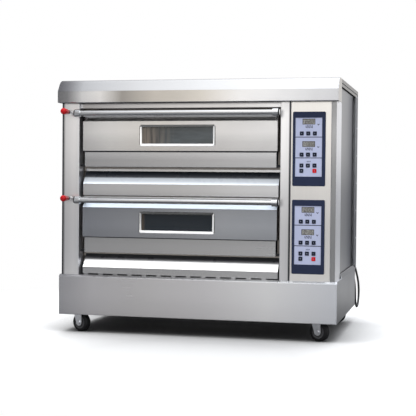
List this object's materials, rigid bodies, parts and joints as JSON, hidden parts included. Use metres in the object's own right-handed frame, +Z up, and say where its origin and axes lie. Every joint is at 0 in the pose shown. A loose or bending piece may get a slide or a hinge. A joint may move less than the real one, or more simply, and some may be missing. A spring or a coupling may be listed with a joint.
{
  "type": "deck oven",
  "caption": "Electric deck oven with stacked baking chambers behind drop-down windowed doors, a control column, a projecting canopy and a skirted base on swivel casters.",
  "frame": {"origin": "on the floor under the centre of the oven, its supply lead left out", "axes": "+X to the right seen from the front, +Y from the doors to the back, +Z up"},
  "size_m": [1.3381, 1.253, 1.201],
  "materials": {
    "skirt_steel": "satin",
    "chassis_paint": "satin",
    "zinc": "satin",
    "caster_rubber": "matte",
    "frame_steel": "satin",
    "canopy_steel": "satin",
    "panel_steel": "satin",
    "sill_steel": "satin",
    "door_steel": "satin",
    "chamber_steel": "satin",
    "heater_sheath": "matte",
    "mineral_wool": "matte",
    "trim_steel": "polished",
    "oven_glass": "gloss",
    "handle_chrome": "polished",
    "damper_red": "gloss",
    "key_red": "satin",
    "key_navy": "satin",
    "bezel_navy": "satin",
    "face_lilac": "satin",
    "gland_black": "matte",
    "cord_rubber": "matte",
    "plug_red": "satin"
  },
  "bodies": {
    "cabinet": {"base_skirt": "skirt_steel", "chassis_frame": "chassis_paint", "front_frame": "frame_steel", "canopy": "canopy_steel", "roof_panel": "panel_steel", "side_panels": "panel_steel", "rear_panel": "panel_steel", "sill_aprons": "sill_steel", "chamber_liners": "chamber_steel", "heating_elements": "heater_sheath", "insulation_slabs": "mineral_wool", "controller_bezels": "bezel_navy", "controller_faces": "face_lilac", "control_fascia": "frame_steel", "cable_gland": "gland_black", "power_cord": "cord_rubber", "cord_coil": "cord_rubber", "plug": "plug_red"},
    "door_upper": {"door_frame_upper": "door_steel", "door_panel_upper": "door_steel", "window_trim_upper": "trim_steel", "window_glass_upper": "oven_glass", "door_handle_upper": "handle_chrome"},
    "damper_upper": {"damper_pull_upper": "damper_red"},
    "door_lower": {"door_frame_lower": "door_steel", "door_panel_lower": "door_steel", "window_trim_lower": "trim_steel", "window_glass_lower": "oven_glass", "door_handle_lower": "handle_chrome"},
    "damper_lower": {"damper_pull_lower": "damper_red"},
    "caster_front_left": {"caster_fork_front_left": "zinc"},
    "wheel_front_left": {"caster_wheel_front_left": "caster_rubber"},
    "caster_front_right": {"caster_fork_front_right": "zinc"},
    "wheel_front_right": {"caster_wheel_front_right": "caster_rubber"},
    "caster_rear_left": {"caster_fork_rear_left": "zinc"},
    "wheel_rear_left": {"caster_wheel_rear_left": "caster_rubber"},
    "caster_rear_right": {"caster_fork_rear_right": "zinc"},
    "wheel_rear_right": {"caster_wheel_rear_right": "caster_rubber"},
    "key_upper_top_1": {"key_upper_top_1": "key_navy"},
    "key_upper_top_2": {"key_upper_top_2": "key_navy"},
    "key_upper_top_3": {"key_upper_top_3": "key_navy"},
    "key_upper_middle_1": {"key_upper_middle_1": "key_navy"},
    "key_upper_middle_2": {"key_upper_middle_2": "key_navy"},
    "key_upper_middle_3": {"key_upper_middle_3": "key_navy"},
    "key_upper_set_1": {"key_upper_set_1": "key_navy"},
    "key_upper_set_2": {"key_upper_set_2": "key_navy"},
    "key_upper_set_3": {"key_upper_set_3": "key_navy"},
    "key_upper_light": {"key_upper_light": "key_navy"},
    "key_upper_power": {"key_upper_power": "key_red"},
    "key_lower_top_1": {"key_lower_top_1": "key_navy"},
    "key_lower_top_2": {"key_lower_top_2": "key_navy"},
    "key_lower_top_3": {"key_lower_top_3": "key_navy"},
    "key_lower_middle_1": {"key_lower_middle_1": "key_navy"},
    "key_lower_middle_2": {"key_lower_middle_2": "key_navy"},
    "key_lower_middle_3": {"key_lower_middle_3": "key_navy"},
    "key_lower_set_1": {"key_lower_set_1": "key_navy"},
    "key_lower_set_2": {"key_lower_set_2": "key_navy"},
    "key_lower_set_3": {"key_lower_set_3": "key_navy"},
    "key_lower_light": {"key_lower_light": "key_navy"},
    "key_lower_power": {"key_lower_power": "key_red"}
  },
  "joints": [
    {"name": "door_upper_hinge", "type": "hinge", "parent": "cabinet", "child": "door_upper", "pos_m": [-0.085, -0.3435, 0.799], "axis": [1, 0, 0], "range_deg": [0, 90]},
    {"name": "damper_upper_slide", "type": "slide", "parent": "cabinet", "child": "damper_upper", "axis": [0, -1, 0], "range_m": [0, 0.05]},
    {"name": "door_lower_hinge", "type": "hinge", "parent": "cabinet", "child": "door_lower", "pos_m": [-0.085, -0.3435, 0.391], "axis": [1, 0, 0], "range_deg": [0, 90]},
    {"name": "damper_lower_slide", "type": "slide", "parent": "cabinet", "child": "damper_lower", "axis": [0, -1, 0], "range_m": [0, 0.05]},
    {"name": "caster_front_left_swivel", "type": "hinge", "parent": "cabinet", "child": "caster_front_left", "pos_m": [-0.592, -0.3205, 0.11], "axis": [0, 0, 1], "continuous": true},
    {"name": "wheel_front_left_spin", "type": "hinge", "parent": "caster_front_left", "child": "wheel_front_left", "pos_m": [-0.56604, -0.33099, 0.045], "axis": [0.3746, 0.9272, 0], "continuous": true},
    {"name": "caster_front_right_swivel", "type": "hinge", "parent": "cabinet", "child": "caster_front_right", "pos_m": [0.557, -0.3205, 0.11], "axis": [0, 0, 1], "continuous": true},
    {"name": "wheel_front_right_spin", "type": "hinge", "parent": "caster_front_right", "child": "wheel_front_right", "pos_m": [0.58296, -0.33099, 0.045], "axis": [0.3746, 0.9272, 0], "continuous": true},
    {"name": "caster_rear_left_swivel", "type": "hinge", "parent": "cabinet", "child": "caster_rear_left", "pos_m": [-0.592, 0.3695, 0.11], "axis": [0, 0, 1], "continuous": true},
    {"name": "wheel_rear_left_spin", "type": "hinge", "parent": "caster_rear_left", "child": "wheel_rear_left", "pos_m": [-0.56604, 0.35901, 0.045], "axis": [0.3746, 0.9272, 0], "continuous": true},
    {"name": "caster_rear_right_swivel", "type": "hinge", "parent": "cabinet", "child": "caster_rear_right", "pos_m": [0.557, 0.3695, 0.11], "axis": [0, 0, 1], "continuous": true},
    {"name": "wheel_rear_right_spin", "type": "hinge", "parent": "caster_rear_right", "child": "wheel_rear_right", "pos_m": [0.58296, 0.35901, 0.045], "axis": [0.3746, 0.9272, 0], "continuous": true},
    {"name": "key_upper_top_1_press", "type": "slide", "parent": "cabinet", "child": "key_upper_top_1", "axis": [0, 1, 0], "range_m": [0, 0.001], "stiffness_N_per_m": 800, "springref_m": -0.0008},
    {"name": "key_upper_top_2_press", "type": "slide", "parent": "cabinet", "child": "key_upper_top_2", "axis": [0, 1, 0], "range_m": [0, 0.001], "stiffness_N_per_m": 800, "springref_m": -0.0008},
    {"name": "key_upper_top_3_press", "type": "slide", "parent": "cabinet", "child": "key_upper_top_3", "axis": [0, 1, 0], "range_m": [0, 0.001], "stiffness_N_per_m": 800, "springref_m": -0.0008},
    {"name": "key_upper_middle_1_press", "type": "slide", "parent": "cabinet", "child": "key_upper_middle_1", "axis": [0, 1, 0], "range_m": [0, 0.001], "stiffness_N_per_m": 800, "springref_m": -0.0008},
    {"name": "key_upper_middle_2_press", "type": "slide", "parent": "cabinet", "child": "key_upper_middle_2", "axis": [0, 1, 0], "range_m": [0, 0.001], "stiffness_N_per_m": 800, "springref_m": -0.0008},
    {"name": "key_upper_middle_3_press", "type": "slide", "parent": "cabinet", "child": "key_upper_middle_3", "axis": [0, 1, 0], "range_m": [0, 0.001], "stiffness_N_per_m": 800, "springref_m": -0.0008},
    {"name": "key_upper_set_1_press", "type": "slide", "parent": "cabinet", "child": "key_upper_set_1", "axis": [0, 1, 0], "range_m": [0, 0.001], "stiffness_N_per_m": 800, "springref_m": -0.0008},
    {"name": "key_upper_set_2_press", "type": "slide", "parent": "cabinet", "child": "key_upper_set_2", "axis": [0, 1, 0], "range_m": [0, 0.001], "stiffness_N_per_m": 800, "springref_m": -0.0008},
    {"name": "key_upper_set_3_press", "type": "slide", "parent": "cabinet", "child": "key_upper_set_3", "axis": [0, 1, 0], "range_m": [0, 0.001], "stiffness_N_per_m": 800, "springref_m": -0.0008},
    {"name": "key_upper_light_press", "type": "slide", "parent": "cabinet", "child": "key_upper_light", "axis": [0, 1, 0], "range_m": [0, 0.001], "stiffness_N_per_m": 800, "springref_m": -0.0008},
    {"name": "key_upper_power_press", "type": "slide", "parent": "cabinet", "child": "key_upper_power", "axis": [0, 1, 0], "range_m": [0, 0.001], "stiffness_N_per_m": 800, "springref_m": -0.0008},
    {"name": "key_lower_top_1_press", "type": "slide", "parent": "cabinet", "child": "key_lower_top_1", "axis": [0, 1, 0], "range_m": [0, 0.001], "stiffness_N_per_m": 800, "springref_m": -0.0008},
    {"name": "key_lower_top_2_press", "type": "slide", "parent": "cabinet", "child": "key_lower_top_2", "axis": [0, 1, 0], "range_m": [0, 0.001], "stiffness_N_per_m": 800, "springref_m": -0.0008},
    {"name": "key_lower_top_3_press", "type": "slide", "parent": "cabinet", "child": "key_lower_top_3", "axis": [0, 1, 0], "range_m": [0, 0.001], "stiffness_N_per_m": 800, "springref_m": -0.0008},
    {"name": "key_lower_middle_1_press", "type": "slide", "parent": "cabinet", "child": "key_lower_middle_1", "axis": [0, 1, 0], "range_m": [0, 0.001], "stiffness_N_per_m": 800, "springref_m": -0.0008},
    {"name": "key_lower_middle_2_press", "type": "slide", "parent": "cabinet", "child": "key_lower_middle_2", "axis": [0, 1, 0], "range_m": [0, 0.001], "stiffness_N_per_m": 800, "springref_m": -0.0008},
    {"name": "key_lower_middle_3_press", "type": "slide", "parent": "cabinet", "child": "key_lower_middle_3", "axis": [0, 1, 0], "range_m": [0, 0.001], "stiffness_N_per_m": 800, "springref_m": -0.0008},
    {"name": "key_lower_set_1_press", "type": "slide", "parent": "cabinet", "child": "key_lower_set_1", "axis": [0, 1, 0], "range_m": [0, 0.001], "stiffness_N_per_m": 800, "springref_m": -0.0008},
    {"name": "key_lower_set_2_press", "type": "slide", "parent": "cabinet", "child": "key_lower_set_2", "axis": [0, 1, 0], "range_m": [0, 0.001], "stiffness_N_per_m": 800, "springref_m": -0.0008},
    {"name": "key_lower_set_3_press", "type": "slide", "parent": "cabinet", "child": "key_lower_set_3", "axis": [0, 1, 0], "range_m": [0, 0.001], "stiffness_N_per_m": 800, "springref_m": -0.0008},
    {"name": "key_lower_light_press", "type": "slide", "parent": "cabinet", "child": "key_lower_light", "axis": [0, 1, 0], "range_m": [0, 0.001], "stiffness_N_per_m": 800, "springref_m": -0.0008},
    {"name": "key_lower_power_press", "type": "slide", "parent": "cabinet", "child": "key_lower_power", "axis": [0, 1, 0], "range_m": [0, 0.001], "stiffness_N_per_m": 800, "springref_m": -0.0008}
  ]
}
